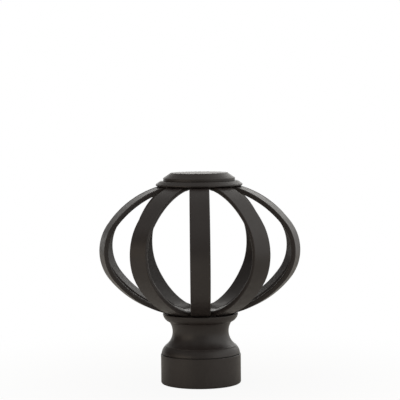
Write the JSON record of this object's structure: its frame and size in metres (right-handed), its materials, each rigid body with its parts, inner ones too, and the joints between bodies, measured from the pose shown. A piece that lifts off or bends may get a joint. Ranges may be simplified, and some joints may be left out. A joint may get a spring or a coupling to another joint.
{
  "type": "curtain pole finial",
  "caption": "Cage finial for a curtain pole: bent flat strips make an open, flattened ball between a turned two-tier cap and a turned neck whose socket slides over the pole's end.",
  "frame": {"origin": "centre of the socket's mouth, at the bottom of the collar", "axes": "+Z along the pole's axis towards the cap, -Y towards the strip that faces the camera, grub screw at +Y"},
  "size_m": [0.0796, 0.0812, 0.0848],
  "materials": {
    "paint": "satin dark bronze-black paint",
    "screw_steel": "plain zinc-plated steel"
  },
  "bodies": {
    "root": {"neck_socket": "paint", "lower_hub": "paint", "upper_hub": "paint", "rib_01": "paint", "rib_02": "paint", "rib_03": "paint", "rib_04": "paint", "rib_05": "paint", "rib_06": "paint", "rib_07": "paint", "rib_08": "paint", "rib_09": "paint", "rib_10": "paint", "end_cap": "paint", "neck_screw": "screw_steel", "cap_screw": "screw_steel", "grub_screw": "screw_steel"}
  },
  "joints": []
}
